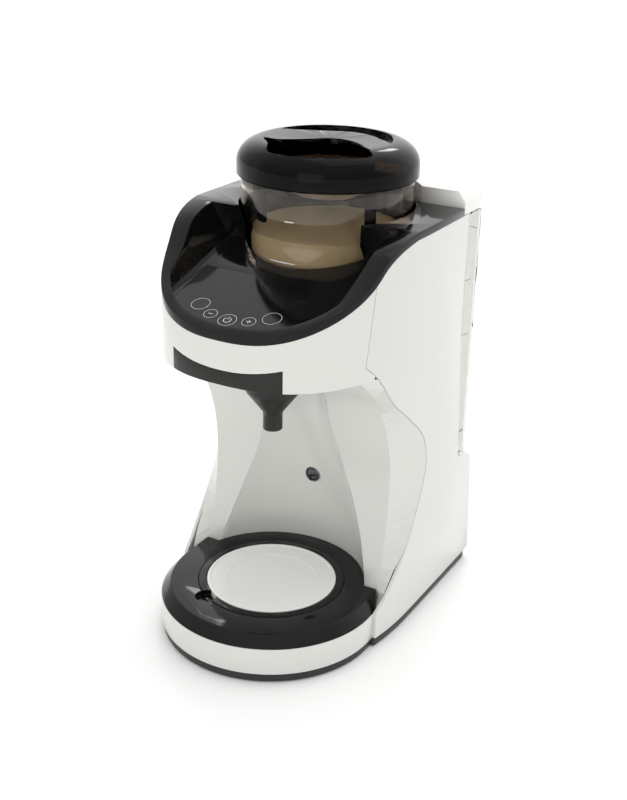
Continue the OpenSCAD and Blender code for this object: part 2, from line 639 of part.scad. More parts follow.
module water_tank() color(clear, 0.5) at_axis() difference() {
    union() {
        difference() {
            tank_solid(0, tank_top_z);
            tank_solid(tank_wall, tank_top_z + 1);
        }
        translate([valve_at[0], valve_at[1], tank_bottom_z - 5.5]) cylinder(h = 6, r = 7);
        for (x = hinge_x) difference() {
            translate([x - 4, hinge_y - 3, tank_top_z - 12]) cube([8, 4.5, 12 + 7]);
            translate([x - 5, hinge_y, hinge_z]) rotate([0, 90, 0]) cylinder(h = 10, r = 1.5 + fit);
        }
    }
    translate([valve_at[0], valve_at[1], tank_bottom_z - 10]) cylinder(h = 20, r = 3.6);
    translate([-far, tank_back_y - 8, tank_top_z - 2]) cube([far - 82, 20, 20]);
    translate([82, tank_back_y - 8, tank_top_z - 2]) cube([far - 82, 20, 20]);
    translate([-74, tank_back_y - 8, tank_top_z - 2]) cube([148, 20, 20]);
}
lid_front_y = deck_end_y + 0.8;
module tank_lid() color("#ecebe6") at_axis() difference() {
    intersection() {
        hull() {
            prism(0.2, lid_z, lid_z + tank_lid_h - 9, tank_back_y + 0.6);
            prism(7, lid_z + tank_lid_h - 1, lid_z + tank_lid_h, tank_back_y + 0.6);
        }
        translate([-far, lid_front_y, 0]) cube([2 * far, far, 3 * far]);
    }
    translate([0, hopper_y, 0]) cylinder(h = 3 * far, r = tank_bite_r, $fn = 120);
    intersection() {
        prism(3, lid_z - 1, lid_z + tank_lid_h - 8, tank_back_y - 2.5);
        translate([-far, lid_front_y + 3, 0]) cube([2 * far, far, 3 * far]);
        difference() {
            translate([-far, 0, 0]) cube([2 * far, 2 * far, 3 * far]);
            translate([0, hopper_y, 0]) cylinder(h = 3 * far, r = tank_bite_r + 2.5, $fn = 120);
        }
        difference() {
            translate([-far, 0, 0]) cube([2 * far, 2 * far, 3 * far]);
            for (x = hinge_x, s = [-6.8, 6.8]) translate([x + s - 2, hinge_y - 4, lid_z])
                cube([4, 20, 20]);
        }
    }
    translate([-far, tank_back_y - 4.4, lid_z]) rotate([45, 0, 0])
        translate([0, -6, -6]) cube([2 * far, 12, 8]);
    for (x = hinge_x) translate([x - 4.3, hinge_y - 5, lid_z - 1]) cube([8.6, 14, 11]);
    translate([-far, hinge_y, hinge_z]) rotate([0, 90, 0]) cylinder(h = 2 * far, r = 1.5 + fit);
}
module lid_hinge_pins() color(metal) at_axis() for (x = hinge_x)
    translate([x - 8.5, hinge_y, hinge_z]) rotate([0, 90, 0]) cylinder(h = 17, r = 1.5);
module tank_valve() color("#c9ccce") at_axis() translate([valve_at[0], valve_at[1], 0]) {
    translate([0, 0, shelf_z - 4.7]) cylinder(h = 8, r = 2.4);
    translate([0, 0, tank_bottom_z + tank_wall + gap]) cylinder(h = 2.5, r = 4.5);
}

// ---- hopper ----
hopper_foot_z = socket_z + 6;
taper_z = wall_top_z + 5;
module hopper() color(smoke, 0.6) at_hopper() rotate_extrude($fn = 120) {
    w = hopper_wall;
    polygon([[hopper_low_r, hopper_foot_z], [hopper_low_r, taper_z - 17], [hopper_r, taper_z],
        [hopper_r, hopper_top_z], [hopper_r - w, hopper_top_z], [hopper_r - w, taper_z + 0.5],
        [hopper_low_r - w, taper_z - 16.5], [hopper_low_r - w, hopper_foot_z]]);
}
wheel_r = hopper_low_r - hopper_wall - 0.5;
module dosing_base() color(black) at_hopper() difference() {
    translate([0, 0, hopper_foot_z - 3]) cylinder(h = 3, r = hopper_low_r, $fn = 120);
    translate([0, 0, hopper_foot_z - 5]) cylinder(h = 10, r = bush_r + 0.08);
    outlet_at() translate([0, 0, hopper_foot_z - 5]) cylinder(h = 10, r = 9);
}
module dosing_wheel() color("#d8d8d4") at_hopper() difference() {
    union() {
        translate([0, 0, hopper_foot_z + gap]) cylinder(h = 6, r = wheel_r, $fn = 120);
        translate([0, 0, hopper_foot_z + gap]) cylinder(h = 16, r = 12);
        translate([0, 0, hopper_foot_z - 2.5]) cylinder(h = 3, r = bush_r);
    }
    for (k = [0:pockets - 1]) rotate(360 / pockets * (k + 0.5)) outlet_at()
        translate([0, 0, hopper_foot_z - 1]) cylinder(h = 10, r = 8);
    translate([-shaft_r - 0.4, -dog_w / 2 - 0.4, hopper_foot_z - 4])
        cube([2 * shaft_r + 0.8, dog_w + 0.8, 9]);
}
stir_z = hopper_foot_z + gap + 16;
module stirrer() color("#cfcfca") at_hopper() {
    difference() {
        translate([0, 0, stir_z]) cylinder(h = 8, r = 9);
        translate([0, 0, stir_z - 1]) cylinder(h = 4, r = 3);
    }
    for (k = [0:2]) rotate(120 * k + 30) {
        translate([8, -2, stir_z]) cube([46, 4, 4]);
        translate([50, -2, stir_z - 7]) cube([4, 4, 7]);
    }
}
seal_z = hopper_top_z + gap;
module hopper_seal() color("#8a8a88") at_hopper() difference() {
    translate([0, 0, seal_z]) cylinder(h = 2, r = hopper_r, $fn = 120);
    translate([0, 0, seal_z - 1]) cylinder(h = 4, r = hopper_r - 3.5, $fn = 120);
}
lid_in_r = hopper_r + 0.4;
lid_under_z = seal_z + 2 + gap;
lid_low_z = hopper_top_z - 6.5;
lid_wall_z = hopper_top_z + 4;
lid_top_z = hopper_top_z + lid_rise;
lid_crown_r = 53;
function arc_pts(r, from, to) = [for (k = [0:12])
    let (a = from + (to - from) * k / 12) r * [cos(a), sin(a)]];
module hopper_lid() color(smoke, 0.9) at_hopper() {
    difference() {
        rotate_extrude($fn = 120) polygon(concat(
            [[0, lid_under_z + 1.5], [0, lid_top_z - 0.6], [46, lid_top_z - 0.6]],
            [for (a = [90:-10:0]) [lid_crown_r + (lid_r - lid_crown_r) * cos(a),
                lid_wall_z + (lid_top_z - lid_wall_z) * sin(a)]],
            [[lid_r, lid_low_z + 1], [lid_r - 1, lid_low_z], [lid_in_r, lid_low_z],
             [lid_in_r, lid_under_z], [64, lid_under_z], [64, lid_under_z + 1.5]]));
        translate([0, 0, lid_under_z + 3]) linear_extrude(40) polygon(concat(
            [[-21, -62]], arc_pts(66.5, 252, 328), [[57, -33], [42, -16], [26, -3], [12, 3],
            [0, 0], [-12, -11], [-24, -23], [-34, -29], [-44, -30], [-28, -49]]));
        translate([0, 0, lid_top_z - 9]) linear_extrude(40) polygon(concat(arc_pts(54, 8, 170),
            [[-46, 14], [-30, 20], [-14, 27], [0, 33], [14, 33], [30, 26], [44, 13]]));
    }
    for (a = [-118, -28, 152]) rotate(a) translate([hopper_r - 12, -5, hopper_top_z - 40])
        cube([3.5, 10, 40 + lid_under_z - hopper_top_z + 2]);
}

// ---- funnel drawer ----
plate_z = bay_top_z + gap;
plate_t = 3;
funnel_z = plate_z + plate_t;
module funnel() color("#2d2e30") at_axis() rotate_extrude($fn = 96) polygon([
    [dish_r, funnel_z + 5.6], [dish_r, funnel_z + 2.4], [34, funnel_z], [24.9, funnel_z],
    [24.2, plate_z - 1], [spout_r + 0.3, spout_z + 17], [spout_r + 0.3, spout_z + 15.5],
    [spout_r, spout_z + 15], [spout_r, spout_z], [spout_r - 1.8, spout_z],
    [spout_r - 1.8, spout_z + 17], [22.6, funnel_z], [34, funnel_z + 2.1],
    [dish_r - 2, funnel_z + 4], [dish_r - 2, funnel_z + 5.6]]);
module funnel_drawer() color("#2d2e30") at_axis() {
    intersection() {
        difference() {
            prism(0, head_z, wall_top_z);
            prism(wall, head_z - 1, wall_top_z + 1);
        }
        drawer_mouth(0);
        translate([-far, -2 * far, 0]) cube([2 * far, 2 * far - 40, 3 * far]);
    }
    difference() {
        intersection() {
            prism(wall - eps, plate_z, funnel_z);
            translate([-drawer_x, -far, 0])
                cube([2 * drawer_x, far + guide_back_y - gap, 3 * far]);
        }
        cylinder(h = 3 * far, r = 25.2);
    }
}
base_plate();
base_band();
base_cover();
tray_ring();
platform();
rubber_feet();
base_screws();
side_panel_left();
side_panel_right();
bay_column();
sensor_lens();
sensor_board();
head_shell();
drawer_guide();
deck_cover();
control_panel();
display_board();
socket_plate();
chassis();
rear_cover();
tank_bay();
power_inlet();
main_board();
water_pump();
pump_clamp();
heater();
heater_clamp();
suction_tube();
pressure_tube();
outlet_tube();
water_nozzle();
powder_chute();
gear_motor();
motor_pinion();
drive_gear();
gear_bush();
hopper();
dosing_base();
dosing_wheel();
stirrer();
hopper_seal();
hopper_lid();
funnel();
funnel_drawer();
water_tank();
tank_lid();
lid_hinge_pins();
tank_valve();
valve_seat();
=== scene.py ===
# Baby formula maker: the looks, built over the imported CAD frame.
# Metres. X runs to the right of someone facing the bottle bay, Y to the back, Z up.
import math

import bmesh
import bpy
from mathutils import Matrix, Vector, noise


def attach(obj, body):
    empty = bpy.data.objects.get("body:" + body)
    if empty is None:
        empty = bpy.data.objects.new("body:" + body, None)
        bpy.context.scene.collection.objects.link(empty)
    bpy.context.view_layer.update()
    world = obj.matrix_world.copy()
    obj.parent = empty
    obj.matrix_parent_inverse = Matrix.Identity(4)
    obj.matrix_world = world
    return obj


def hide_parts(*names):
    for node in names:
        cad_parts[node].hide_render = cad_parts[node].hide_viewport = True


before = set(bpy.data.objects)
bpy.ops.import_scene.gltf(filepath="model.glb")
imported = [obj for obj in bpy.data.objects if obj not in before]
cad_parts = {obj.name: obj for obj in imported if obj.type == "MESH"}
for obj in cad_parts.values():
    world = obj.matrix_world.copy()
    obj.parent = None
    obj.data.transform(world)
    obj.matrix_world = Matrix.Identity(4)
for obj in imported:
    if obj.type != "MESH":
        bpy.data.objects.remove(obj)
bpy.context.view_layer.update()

# ---- Camera ----
# The photograph looks down on the machine's right front corner from a little over a metre
# away, through a normal lens held a degree out of level.
MM = 0.001
turn, dip, tilt = (math.radians(a) for a in (29.15, 23.25, 1.24))
forward = Vector((-math.sin(turn) * math.cos(dip), math.cos(turn) * math.cos(dip),
                  -math.sin(dip)))
level = Vector((math.cos(turn), math.sin(turn), 0))
upright = level.cross(forward)
across = level * math.cos(tilt) + upright * math.sin(tilt)
up = upright * math.cos(tilt) - level * math.sin(tilt)
camera = bpy.data.objects.new("camera", bpy.data.cameras.new("camera"))
bpy.context.scene.collection.objects.link(camera)
camera.matrix_world = (Matrix.Translation((0.48715, -0.85487, 0.61803))
                       @ Matrix((across, up, -forward)).transposed().to_4x4())
camera.data.sensor_width = 36
camera.data.lens = 55.49
camera.data.clip_end = 60
bpy.context.scene.camera = camera
bpy.context.scene.view_settings.view_transform = "Standard"


# ---- Studio ----
# A wide matt floor of white card, a white tent that is brighter overhead and brightest behind
# the machine, so its gloss tops shine and its fronts stay deep, and four weak soft boxes.
def linear(code):
    """A colour from its sRGB hex code."""
    parts = [int(code[i:i + 2], 16) / 255 for i in (1, 3, 5)]
    return tuple(c / 12.92 if c <= 0.04045 else ((c + 0.055) / 1.055) ** 2.4
                 for c in parts) + (1.0,)


def add(tree, kind, values=None, links=None, **settings):
    """Adds a shader node with its settings, its values and its links."""
    node = tree.nodes.new("ShaderNode" + kind)
    for key, value in settings.items():
        setattr(node, key, value)
    for key, value in (values or {}).items():
        node.inputs[key].default_value = value
    for key, source in (links or {}).items():
        tree.links.new(source, node.inputs[key])
    return node


world = bpy.data.worlds.new("white_tent")
bpy.context.scene.world = world
world.use_nodes = True
tent = world.node_tree
sky = add(tent, "TexCoord").outputs["Generated"]
way = add(tent, "SeparateXYZ", links={0: sky})
# The tent is two thirds as bright at the floor line as overhead.
height = add(tent, "MapRange", {"From Min": 0.0, "From Max": 0.8, "To Min": 0.66, "To Max": 1.0},
             {"Value": way.outputs["Z"]})
tent.links.new(height.outputs["Result"], tent.nodes["Background"].inputs["Color"])
# Behind the machine it is lit from outside as well.
glow = add(tent, "MapRange", {"From Min": 0.2, "From Max": 0.8, "To Min": 1.02, "To Max": 1.8},
           {"Value": way.outputs["Y"]})
tent.links.new(glow.outputs["Result"], tent.nodes["Background"].inputs["Strength"])

# Uncoated white card, matt and all but plain.
card = bpy.data.materials.new("pale_card_floor")
card.use_nodes = True
card_place = add(card.node_tree, "TexCoord").outputs["Object"]
card_fleck = add(card.node_tree, "TexNoise", {"Scale": 3.0, "Detail": 2.0}, {"Vector": card_place})
card_shade = add(card.node_tree, "Mix", {6: linear("#fcfcfb"), 7: linear("#ffffff")},
                 {0: card_fleck.outputs["Fac"]}, data_type="RGBA")
card_surface = card.node_tree.nodes["Principled BSDF"]
card.node_tree.links.new(card_shade.outputs[2], card_surface.inputs["Base Color"])
card_surface.inputs["Roughness"].default_value = 0.75
floor_mesh = bpy.data.meshes.new("floor")
bm = bmesh.new()
bmesh.ops.create_grid(bm, x_segments=2, y_segments=2, size=25)  # wide enough for low views
bm.to_mesh(floor_mesh)
bm.free()
floor_mesh.materials.append(card)
floor = bpy.data.objects.new("floor", floor_mesh)
bpy.context.scene.collection.objects.link(floor)

aim_point = Vector((0, 0, 0.2))
for name, watts, size, stand in (("left_box", 2.0, 0.3, (-0.75, 1.1, 1.25)),
                                 ("right_box", 1.2, 0.22, (-0.25, 1.35, 1.2)),
                                 ("front_box", 2.5, 1.0, (0.25, -1.7, 0.6)),
                                 ("top_box", 3, 1.2, (0.2, 0.3, 1.9))):
    lamp = bpy.data.lights.new(name, "AREA")
    lamp.energy = watts
    lamp.size = size
    box = bpy.data.objects.new(name, lamp)
    bpy.context.scene.collection.objects.link(box)
    box.location = stand
    box.rotation_euler = (aim_point - Vector(stand)).to_track_quat("-Z", "Y").to_euler()


# ---- Foot trim ----
# The shallow satin tray under the whole machine, injection moulded in black ABS from a
# spark-eroded tool, so its sheen is broken by a fine even grain.
def moulded(name, light, dark, roughness, grain=0.0, relief=0.0, coat=0.0):
    """Moulded plastic: two near shades, a drifting roughness and a grain size and depth in mm."""
    finish = bpy.data.materials.new(name)
    finish.use_nodes = True
    tree = finish.node_tree
    surface = tree.nodes["Principled BSDF"]
    spot = add(tree, "TexCoord").outputs["Object"]
    flow = add(tree, "TexNoise", {"Scale": 1 / (60 * MM), "Detail": 3.0}, {"Vector": spot})
    tint = add(tree, "Mix", {6: linear(dark), 7: linear(light)}, {0: flow.outputs["Fac"]},
               data_type="RGBA")
    tree.links.new(tint.outputs[2], surface.inputs["Base Color"])
    haze = add(tree, "TexNoise", {"Scale": 1 / (14 * MM), "Detail": 4.0}, {"Vector": spot})
    sheen = add(tree, "MapRange", {"From Min": 0.3, "From Max": 0.7, "To Min": roughness * 0.94,
                                   "To Max": roughness * 1.06}, {"Value": haze.outputs["Fac"]})
    tree.links.new(sheen.outputs["Result"], surface.inputs["Roughness"])
    if relief:
        pits = add(tree, "TexNoise", {"Scale": 1 / (grain * MM), "Detail": 2.0}, {"Vector": spot})
        bump = add(tree, "Bump", {"Strength": 1.0, "Distance": relief * MM},
                   {"Height": pits.outputs["Fac"]})
        tree.links.new(bump.outputs["Normal"], surface.inputs["Normal"])
    surface.inputs["IOR"].default_value = 1.53
    surface.inputs["Coat Weight"].default_value = coat
    surface.inputs["Coat Roughness"].default_value = 0.04
    return finish


def cad_copy(node):
    """A CAD node's mesh, merged, with its flat areas back as single faces."""
    bm = bmesh.new()
    bm.from_mesh(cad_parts[node].data)
    bmesh.ops.remove_doubles(bm, verts=bm.verts, dist=0.004 * MM)
    bmesh.ops.dissolve_limit(bm, angle_limit=math.radians(0.4), verts=bm.verts, edges=bm.edges)
    return bm


def soften(bm, radius, steps=3, over=30, where=None):
    """Rounds the edges that turn by more than `over` degrees, to a radius in mm."""
    edges = [e for e in bm.edges if len(e.link_faces) == 2
             and e.calc_face_angle(0) > math.radians(over) and (where is None or where(e))]
    bmesh.ops.bevel(bm, geom=edges, offset=radius * MM, segments=steps, profile=0.5,
                    affect="EDGES", material=-1, clamp_overlap=True)


def piece(name, bm, finish, body, *nodes, smooth=32):
    """Makes the piece, smooth but for edges sharper than `smooth` degrees."""
    mesh = bpy.data.meshes.new(name)
    bm.to_mesh(mesh)
    bm.free()
    mesh.materials.append(finish)
    mesh.shade_smooth()
    mesh.set_sharp_from_angle(angle=math.radians(smooth))
    thing = bpy.data.objects.new(name, mesh)
    bpy.context.scene.collection.objects.link(thing)
    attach(thing, body)
    if nodes:
        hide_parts(*nodes)
    return thing


satin_black = moulded("satin_black_abs", "#1b1c1e", "#151617", 0.42, grain=0.5, relief=0.02)
bm = cad_copy("base_plate")
soften(bm, 0.8, 2, 50)
foot_trim = piece("foot_trim", bm, satin_black, "root", "base_plate")

# ---- Rubber feet and foot screws ----
# Four stick-on discs of black rubber, dull and slightly rough, and bright zinc-plated
# self-tapping screws through the tray into the bosses above it.
def dress(finish, *nodes):
    """Gives CAD nodes that keep their own shape a finish."""
    for node in nodes:
        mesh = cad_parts[node].data
        mesh.materials.clear()
        mesh.materials.append(finish)


def metal(name, light, dark, roughness, brush):
    """Bare metal: two near shades, with marks drawn out along Z to a length in mm."""
    finish = bpy.data.materials.new(name)
    finish.use_nodes = True
    tree = finish.node_tree
    surface = tree.nodes["Principled BSDF"]
    spot = add(tree, "TexCoord").outputs["Object"]
    drawn = add(tree, "Mapping", {"Scale": (1.0, 1.0, 0.06)}, {"Vector": spot})
    marks = add(tree, "TexNoise", {"Scale": 1 / (brush * MM), "Detail": 3.0},
                {"Vector": drawn.outputs["Vector"]})
    tint = add(tree, "Mix", {6: linear(dark), 7: linear(light)}, {0: marks.outputs["Fac"]},
               data_type="RGBA")
    tree.links.new(tint.outputs[2], surface.inputs["Base Color"])
    bump = add(tree, "Bump", {"Strength": 0.4, "Distance": 0.02 * MM},
               {"Height": marks.outputs["Fac"]})
    tree.links.new(bump.outputs["Normal"], surface.inputs["Normal"])
    surface.inputs["Metallic"].default_value = 1.0
    surface.inputs["Roughness"].default_value = roughness
    return finish


soft_rubber = moulded("moulded_rubber", "#2b2b2b", "#222222", 0.7, grain=0.8, relief=0.05)
dress(soft_rubber, "rubber_feet")
zinc_steel = metal("zinc_plated_steel", "#c6c8cb", "#a9acb0", 0.32, 0.8)
dress(zinc_steel, "base_screws")

# ---- White band of the foot ----
# A separate hoop of gloss white ABS between the trim and the black cover. Gloss from a polished
# tool: clear reflections with the faintest waviness.
gloss_white = moulded("gloss_white_abs", "#dadad5", "#d8d8d3", 0.2, grain=9, relief=0.004)
bm = cad_copy("base_band")
soften(bm, 0.5, 2, 50)
foot_band = piece("foot_band", bm, gloss_white, "root", "base_band")

# ---- Black foot cover and tray ring ----
# The glossy black top of the foot with its wide bevel, and the lift-out drip ring set into it
# with a finger notch at the front left. Polished black ABS that mirrors the bright tent at a
# low angle and stays deep seen square on.
gloss_black = moulded("gloss_black_abs", "#0b0c0d", "#090a0b", 0.09, grain=9, relief=0.004)
gloss_black.node_tree.nodes["Principled BSDF"].inputs["Specular IOR Level"].default_value = 0.22
bm = cad_copy("base_cover")
soften(bm, 1.2, 4, 25)
foot_cover = piece("foot_cover", bm, gloss_black, "root", "base_cover")
bm = cad_copy("tray_ring")
soften(bm, 0.5, 3, 40)
drip_ring = piece("drip_ring", bm, gloss_black, "root", "tray_ring")

# ---- Bottle platform ----
# A lift-out white disc with a raised rim and a shallow round rest for the bottle, moulded in
# satin ABS so that wet bottles don't slide.
satin_white = moulded("satin_white_abs", "#f0f0ec", "#ededea", 0.3, grain=0.6, relief=0.002)
bm = cad_copy("platform")
soften(bm, 0.7, 4, 30)
bottle_platform = piece("bottle_platform", bm, satin_white, "platform", "platform")

# ---- Side panels ----
# Two flat gloss white walls that wrap round the rear corners. Their front edge follows the
# bottle bay's outer crease, their top the step and slope of the black deck.
for side in ("left", "right"):
    bm = cad_copy("side_panel_" + side)
    soften(bm, 0.7, 3, 50)
    wall = piece("side_wall_" + side, bm, gloss_white, "root", "side_panel_" + side)

# ---- Bottle bay ----
# The white column behind the bottle, one deep gloss moulding with a concave back wall and two
# cheeks that turn outward along soft creases.
bm = cad_copy("bay_column")
bay = piece("bottle_bay", bm, gloss_white, "root", "bay_column", smooth=24)

# ---- Bottle sensor ----
# A dark infra-red window pressed into the column behind the bottle's neck, smooth as glass, in
# a chrome-plated ring whose rolled edge stands a little proud of the bay.
SPOUT_Y = -50.5
SENSOR_Z = 115
SENSOR_FACE_Y = SPOUT_Y + 71.7


def turned(profile, steps=96, closed=True, start=0, sweep=360):
    """Spins a profile of (radius, height) in mm about the Z axis, round a full or part turn."""
    bm = bmesh.new()
    aim = Matrix.Rotation(math.radians(start), 3, "Z")
    ring = [bm.verts.new(aim @ Vector((r, 0, z))) for r, z in profile]
    pairs = zip(ring, ring[1:] + ring[:1]) if closed else zip(ring, ring[1:])
    line = [bm.edges.new(pair) for pair in pairs
            if pair[0].co.xy.length + pair[1].co.xy.length > 1e-6]
    bmesh.ops.spin(bm, geom=ring + line, cent=(0, 0, 0), axis=(0, 0, 1),
                   angle=math.radians(sweep), steps=steps, use_merge=sweep == 360)
    bmesh.ops.remove_doubles(bm, verts=bm.verts, dist=1e-4)
    if sweep < 360:
        bmesh.ops.holes_fill(bm, edges=[e for e in bm.edges if e.is_boundary])
    bmesh.ops.recalc_face_normals(bm, faces=bm.faces)
    return bm


def place(bm, x=0.0, y=0.0, z=0.0, turn_by=None):
    """Turns a shape made in mm, then moves it to a point in mm and makes it metres."""
    spot = Matrix.Scale(MM, 4) @ Matrix.Translation((x, y, z))
    bmesh.ops.transform(bm, matrix=spot @ (turn_by or Matrix.Identity(4)), verts=bm.verts)
    return bm


TO_FRONT = Matrix.Rotation(math.radians(90), 4, "X")
dark_window = moulded("dark_window", "#2a2d31", "#222428", 0.06, coat=0.5)
window = place(turned([(0, -3), (6.3, -3), (6.3, 0.6), (5.6, 1.2), (3, 1.6), (0, 1.7)], 48),
               0, SENSOR_FACE_Y, SENSOR_Z, TO_FRONT)
window = piece("sensor_window", window, dark_window, "root", "sensor_lens")
chrome = metal("bright_chrome", "#a6a8ab", "#8f9194", 0.12, 6.0)
ring = place(turned([(6.45, -3), (7.6, -3), (7.6, 1.2), (7.2, 2.0), (6.8, 2.0), (6.45, 1.5)], 48),
             0, SENSOR_FACE_Y, SENSOR_Z, TO_FRONT)
piece("sensor_bezel", ring, chrome, "root")

# ---- Head shell ----
# The white nose of the head, one gloss moulding that wraps round from cheek to cheek. Its lower
# edge is opened for the drawer, and every edge is rolled so none reads as a knife.
bm = cad_copy("head_shell")
soften(bm, 1.6, 4, 50)
nose = piece("head_nose", bm, gloss_white, "root", "head_shell")

# ---- Deck ----
# The glossy black top: a rolled rim that climbs from the nose to the tank, a sunken field for
# the touch panel and the round socket that takes the hopper. The same polished ABS as the foot.
bm = cad_copy("deck_cover")
soften(bm, 1.2, 3, 28)
deck = piece("deck", bm, gloss_black, "root", "deck_cover")
dress(gloss_black, "control_panel")

# ---- Touch keys ----
# Light grey pad printing on the sunken panel: two blank rings at the ends, a minus and a plus
# ring, and the power symbol in the middle, all lying on the panel's slope.
key_print = moulded("grey_key_print", "#c9cac9", "#bfc0bf", 0.4)
SLOPE = math.radians(16.5)
PANEL_FRONT = (-78.5, 296)
INK = 0.06  # thickness of the printing, in mm
for name, x, y, size in (("left_key", -37.1, -48.8, 15.5), ("minus_key", -21.8, -57.8, 11.5),
                         ("power_key", -4.4, -61, 15), ("plus_key", 13, -57.8, 11.5),
                         ("right_key", 28.3, -48.8, 15.5)):
    mark = turned([(size / 2 - 0.4, 0), (size / 2, 0), (size / 2, INK), (size / 2 - 0.4, INK)])
    bars = {"minus_key": [(0, 0, 4.2, 0.7)], "plus_key": [(0, 0, 4.2, 0.7), (0, 0, 0.7, 4.2)],
            "power_key": [(0, 2.6, 0.7, 3.4)]}.get(name, [])
    for bar_x, bar_y, wide, tall in bars:
        bmesh.ops.create_cube(mark, size=1, matrix=Matrix.Translation((bar_x, bar_y, INK / 2))
                              @ Matrix.Diagonal((wide, tall, INK, 1)))
    if name == "power_key":
        symbol = turned([(2.7, 0), (3.4, 0), (3.4, INK), (2.7, INK)], 60, start=125, sweep=290)
        loose = bpy.data.meshes.new("symbol")
        symbol.to_mesh(loose)
        symbol.free()
        mark.from_mesh(loose)
        bpy.data.meshes.remove(loose)
    key_z = PANEL_FRONT[1] + math.tan(SLOPE) * (y - PANEL_FRONT[0])
    piece(name, place(mark, x, y + SPOUT_Y, key_z, Matrix.Rotation(SLOPE, 4, "X")), key_print,
          "root")

# ---- Funnel drawer ----
# The drawer front is greenish black satin polypropylene with a rolled lower edge. The mixing
# funnel clipped in behind it narrows by a short steep cone to the spout that hangs in the bay.
dark_satin = moulded("dark_satin_pp", "#1f201c", "#1a1b18", 0.38, grain=0.7, relief=0.015)
dark_satin.node_tree.nodes["Principled BSDF"].inputs["Specular IOR Level"].default_value = 0.3
bm = cad_copy("funnel_drawer")
soften(bm, 1.2, 3, 50)
drawer = piece("drawer", bm, dark_satin, "funnel_drawer", "funnel_drawer")
FUNNEL_Z = 259.8
bm = turned([(44.6, FUNNEL_Z + 5.6), (45, FUNNEL_Z + 5.2), (45, FUNNEL_Z + 2.4), (34, FUNNEL_Z),
             (24.9, FUNNEL_Z), (24.2, 255), (23.4, 224.5), (22.4, 222), (9.4, 205), (8.4, 203),
             (8.2, 201), (8.2, 188.6), (7.8, 188), (6.6, 188), (6.4, 188.4), (6.4, 202), (7.2, 205),
             (20.6, 222.6), (22.2, 226), (22.6, FUNNEL_Z), (34, FUNNEL_Z + 2.1), (43, FUNNEL_Z + 4),
             (43, FUNNEL_Z + 5.2), (43.4, FUNNEL_Z + 5.6)])
funnel = piece("mixing_funnel", place(bm, 0, SPOUT_Y), dark_satin, "funnel_drawer", "funnel")


# ---- Powder hopper ----
# A smoked clear bowl, moulded in copolyester: straight above the deck, drawn in below it to
# drop into its socket. Two printed level lines stand on its front.
HOPPER_Y = SPOUT_Y + 85.2
HOPPER_TOP = 394


def smoked(name, code, roughness, ior, ripple):
    """Clear plastic through its thickness, with the moulding's long ripple in mm."""
    finish = bpy.data.materials.new(name)
    finish.use_nodes = True
    tree = finish.node_tree
    surface = tree.nodes["Principled BSDF"]
    spot = add(tree, "TexCoord").outputs["Object"]
    wave = add(tree, "TexNoise", {"Scale": 1 / (25 * MM), "Detail": 1.0}, {"Vector": spot})
    bump = add(tree, "Bump", {"Strength": 1.0, "Distance": ripple * MM},
               {"Height": wave.outputs["Fac"]})
    tree.links.new(bump.outputs["Normal"], surface.inputs["Normal"])
    surface.inputs["Base Color"].default_value = linear(code)
    surface.inputs["Transmission Weight"].default_value = 1.0
    surface.inputs["Roughness"].default_value = roughness
    surface.inputs["IOR"].default_value = ior
    return finish


def smooth_line(points, steps=5, closed=False):
    """A smooth curve through the points."""
    count = len(points)
    spans = count if closed else count - 1
    pick = (lambda k: Vector(points[k % count])) if closed else (
        lambda k: Vector(points[max(0, min(count - 1, k))]))
    line = []
    for k in range(spans):
        a, b, c, d = (pick(k + j) for j in (-1, 0, 1, 2))
        for j in range(steps):
            t = j / steps
            line.append(0.5 * (2 * b + (c - a) * t + (2 * a - 5 * b + 4 * c - d) * t ** 2
                               + (3 * b - a - 3 * c + d) * t ** 3))
    return line if closed else line + [Vector(points[-1])]


# The smoke is faint in one wall and deepens where two walls lie behind each other.
smoked_clear = smoked("smoked_copolyester", "#e6ddcf", 0.015, 1.4, 0.006)
bowl = [tuple(p) for p in smooth_line([(72.3, 380), (72.3, 370), (72.2, 364), (71.3, 359),
                                       (69, 352), (67, 346.5), (66.1, 341), (66, 335)])]
outside = [(66, 304), *reversed(bowl), (72.3, HOPPER_TOP - 1), (71.8, HOPPER_TOP)]
inside = [(70.3, HOPPER_TOP), (69.8, HOPPER_TOP - 1), *[(r - 2.5, z) for r, z in bowl],
          (63.5, 304)]
hopper = place(turned(outside + inside, 120), 0, HOPPER_Y)
hopper = piece("powder_bowl", hopper, smoked_clear, "hopper", "hopper")

print_white = moulded("white_pad_print", "#e9e9e6", "#e2e2df", 0.45)
for name, low, radius, start, end in (("upper_level_line", 362, 72.3, -88.6, -82.5),
                                      ("lower_level_line", 326, 66.0, -104, -83.5)):
    skin = [(radius - 0.1, 0), (radius + 0.06, 0), (radius + 0.06, 1), (radius - 0.1, 1)]
    mark = turned(skin, 8, start=start, sweep=end - start)
    piece(name, place(mark, 0, HOPPER_Y, low), print_white, "hopper")

# ---- Milk powder ----
# A heap of fine cream powder, as poured: highest a little right of the middle, slumped to the
# walls, with soft lumps on its slope and a packed ring where it has been pressed on the glass.
powder = bpy.data.materials.new("milk_powder")
powder.use_nodes = True
tree = powder.node_tree
surface = tree.nodes["Principled BSDF"]
spot = add(tree, "TexCoord").outputs["Object"]
clump = add(tree, "TexNoise", {"Scale": 1 / (9 * MM), "Detail": 5.0}, {"Vector": spot})
tint = add(tree, "Mix", {6: linear("#e9dcbd"), 7: linear("#f8efd8")}, {0: clump.outputs["Fac"]},
           data_type="RGBA")
tree.links.new(tint.outputs[2], surface.inputs["Base Color"])
grit = add(tree, "TexNoise", {"Scale": 1 / (1.2 * MM), "Detail": 3.0}, {"Vector": spot})
bump = add(tree, "Bump", {"Strength": 1.0, "Distance": 0.3 * MM}, {"Height": grit.outputs["Fac"]})
tree.links.new(bump.outputs["Normal"], surface.inputs["Normal"])
